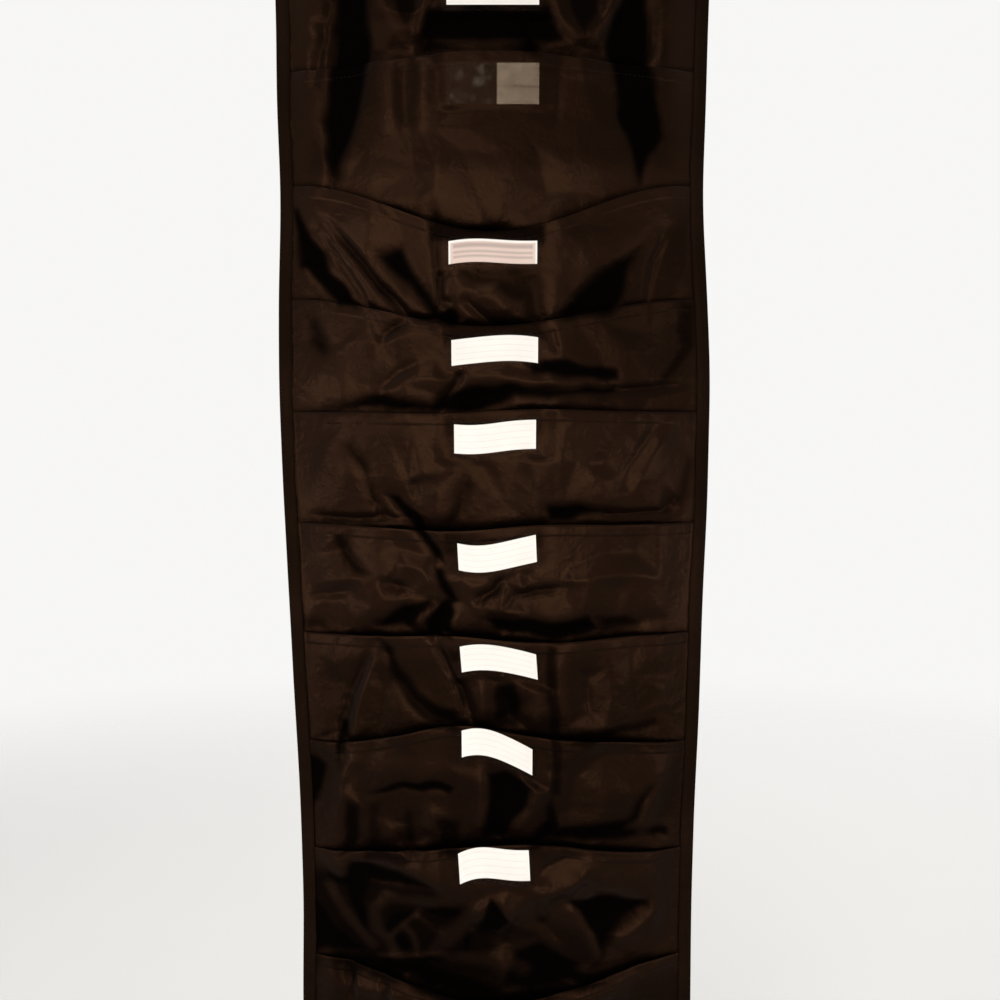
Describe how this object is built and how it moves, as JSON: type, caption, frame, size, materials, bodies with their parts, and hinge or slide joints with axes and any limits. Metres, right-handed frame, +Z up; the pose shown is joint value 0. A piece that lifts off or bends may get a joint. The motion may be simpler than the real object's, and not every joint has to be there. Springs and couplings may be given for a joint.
{
  "type": "hanging pocket file organizer",
  "caption": "Long hanging cloth organizer with overlapping full-width file pockets, each with a clear label sleeve and a slide-out card.",
  "frame": {"origin": "on the wall plane, midway between the two hanging eyelets", "axes": "+Z up, +Y into the wall, +X to the right of a viewer facing the pockets"},
  "size_m": [0.33, 0.0403, 1.0508],
  "materials": {
    "black_cloth": "satin woven nylon",
    "black_tape": "matte woven tape",
    "clear_vinyl": "clear gloss film",
    "white_card": "matte card",
    "grey_board": "plain board",
    "nickel": "bright nickel plate"
  },
  "bodies": {
    "panel": {"back_panel": "black_cloth", "header_board": "grey_board", "side_binding_left": "black_tape", "side_binding_right": "black_tape", "bottom_binding": "black_tape", "eyelet_left": "nickel", "eyelet_right": "nickel", "eyelet_washer_left": "nickel", "eyelet_washer_right": "nickel", "pocket_side_left_01": "black_cloth", "pocket_side_right_01": "black_cloth", "pocket_side_left_02": "black_cloth", "pocket_side_right_02": "black_cloth", "pocket_side_left_03": "black_cloth", "pocket_side_right_03": "black_cloth", "pocket_side_left_04": "black_cloth", "pocket_side_right_04": "black_cloth", "pocket_side_left_05": "black_cloth", "pocket_side_right_05": "black_cloth", "pocket_side_left_06": "black_cloth", "pocket_side_right_06": "black_cloth", "pocket_side_left_07": "black_cloth", "pocket_side_right_07": "black_cloth", "pocket_side_left_08": "black_cloth", "pocket_side_right_08": "black_cloth", "pocket_side_left_09": "black_cloth", "pocket_side_right_09": "black_cloth", "pocket_side_left_10": "black_cloth", "pocket_side_right_10": "black_cloth"},
    "pocket_01": {"pocket_front_01": "black_cloth", "label_sleeve_01": "clear_vinyl"},
    "card_01": {"label_card_01": "white_card"},
    "pocket_02": {"pocket_front_02": "black_cloth", "label_sleeve_02": "clear_vinyl"},
    "pocket_03": {"pocket_front_03": "black_cloth", "label_sleeve_03": "clear_vinyl"},
    "card_03": {"label_card_03": "white_card"},
    "pocket_04": {"pocket_front_04": "black_cloth", "label_sleeve_04": "clear_vinyl"},
    "card_04": {"label_card_04": "white_card"},
    "pocket_05": {"pocket_front_05": "black_cloth", "label_sleeve_05": "clear_vinyl"},
    "card_05": {"label_card_05": "white_card"},
    "pocket_06": {"pocket_front_06": "black_cloth", "label_sleeve_06": "clear_vinyl"},
    "card_06": {"label_card_06": "white_card"},
    "pocket_07": {"pocket_front_07": "black_cloth", "label_sleeve_07": "clear_vinyl"},
    "card_07": {"label_card_07": "white_card"},
    "pocket_08": {"pocket_front_08": "black_cloth", "label_sleeve_08": "clear_vinyl"},
    "card_08": {"label_card_08": "white_card"},
    "pocket_09": {"pocket_front_09": "black_cloth", "label_sleeve_09": "clear_vinyl"},
    "card_09": {"label_card_09": "white_card"},
    "pocket_10": {"pocket_front_10": "black_cloth", "label_sleeve_10": "clear_vinyl"},
    "card_10": {"label_card_10": "white_card"}
  },
  "joints": [
    {"name": "pocket_open_01", "type": "hinge", "parent": "panel", "child": "pocket_01", "pos_m": [0, -0.0019, -0.25], "axis": [1, 0, 0], "range_deg": [-3, 5.5], "stiffness_Nm_per_rad": 0.2},
    {"name": "card_slide_01", "type": "slide", "parent": "pocket_01", "child": "card_01", "axis": [0, -0.1738, 0.9848], "range_m": [0, 0.026]},
    {"name": "pocket_open_02", "type": "hinge", "parent": "panel", "child": "pocket_02", "pos_m": [0, -0.0019, -0.335], "axis": [1, 0, 0], "range_deg": [-3, 5.5], "stiffness_Nm_per_rad": 0.2},
    {"name": "pocket_open_03", "type": "hinge", "parent": "panel", "child": "pocket_03", "pos_m": [0, -0.0019, -0.42], "axis": [1, 0, 0], "range_deg": [-3, 5.5], "stiffness_Nm_per_rad": 0.2},
    {"name": "card_slide_03", "type": "slide", "parent": "pocket_03", "child": "card_03", "axis": [0, -0.1738, 0.9848], "range_m": [0, 0.026]},
    {"name": "pocket_open_04", "type": "hinge", "parent": "panel", "child": "pocket_04", "pos_m": [0, -0.0019, -0.505], "axis": [1, 0, 0], "range_deg": [-3, 5.5], "stiffness_Nm_per_rad": 0.2},
    {"name": "card_slide_04", "type": "slide", "parent": "pocket_04", "child": "card_04", "axis": [-0.0262, -0.1737, 0.9844], "range_m": [0, 0.026]},
    {"name": "pocket_open_05", "type": "hinge", "parent": "panel", "child": "pocket_05", "pos_m": [0, -0.0019, -0.59], "axis": [1, 0, 0], "range_deg": [-3, 5.5], "stiffness_Nm_per_rad": 0.2},
    {"name": "card_slide_05", "type": "slide", "parent": "pocket_05", "child": "card_05", "axis": [-0.061, -0.1735, 0.9829], "range_m": [0, 0.026]},
    {"name": "pocket_open_06", "type": "hinge", "parent": "panel", "child": "pocket_06", "pos_m": [0, -0.0019, -0.675], "axis": [1, 0, 0], "range_deg": [-3, 5.5], "stiffness_Nm_per_rad": 0.2},
    {"name": "card_slide_06", "type": "slide", "parent": "pocket_06", "child": "card_06", "axis": [-0.0958, -0.173, 0.9802], "range_m": [0, 0.026]},
    {"name": "pocket_open_07", "type": "hinge", "parent": "panel", "child": "pocket_07", "pos_m": [0, -0.0019, -0.76], "axis": [1, 0, 0], "range_deg": [-3, 5.5], "stiffness_Nm_per_rad": 0.2},
    {"name": "card_slide_07", "type": "slide", "parent": "pocket_07", "child": "card_07", "axis": [0.1045, -0.1728, 0.9794], "range_m": [0, 0.026]},
    {"name": "pocket_open_08", "type": "hinge", "parent": "panel", "child": "pocket_08", "pos_m": [0, -0.0019, -0.845], "axis": [1, 0, 0], "range_deg": [-3, 5.5], "stiffness_Nm_per_rad": 0.2},
    {"name": "card_slide_08", "type": "slide", "parent": "pocket_08", "child": "card_08", "axis": [0.1908, -0.1706, 0.9667], "range_m": [0, 0.026]},
    {"name": "pocket_open_09", "type": "hinge", "parent": "panel", "child": "pocket_09", "pos_m": [0, -0.0019, -0.93], "axis": [1, 0, 0], "range_deg": [-3, 5.5], "stiffness_Nm_per_rad": 0.2},
    {"name": "card_slide_09", "type": "slide", "parent": "pocket_09", "child": "card_09", "axis": [-0.0523, -0.1735, 0.9834], "range_m": [0, 0.026]},
    {"name": "pocket_open_10", "type": "hinge", "parent": "panel", "child": "pocket_10", "pos_m": [0, -0.0019, -1.015], "axis": [1, 0, 0], "range_deg": [-3, 5.5], "stiffness_Nm_per_rad": 0.2},
    {"name": "card_slide_10", "type": "slide", "parent": "pocket_10", "child": "card_10", "axis": [0, -0.1738, 0.9848], "range_m": [0, 0.026]}
  ]
}
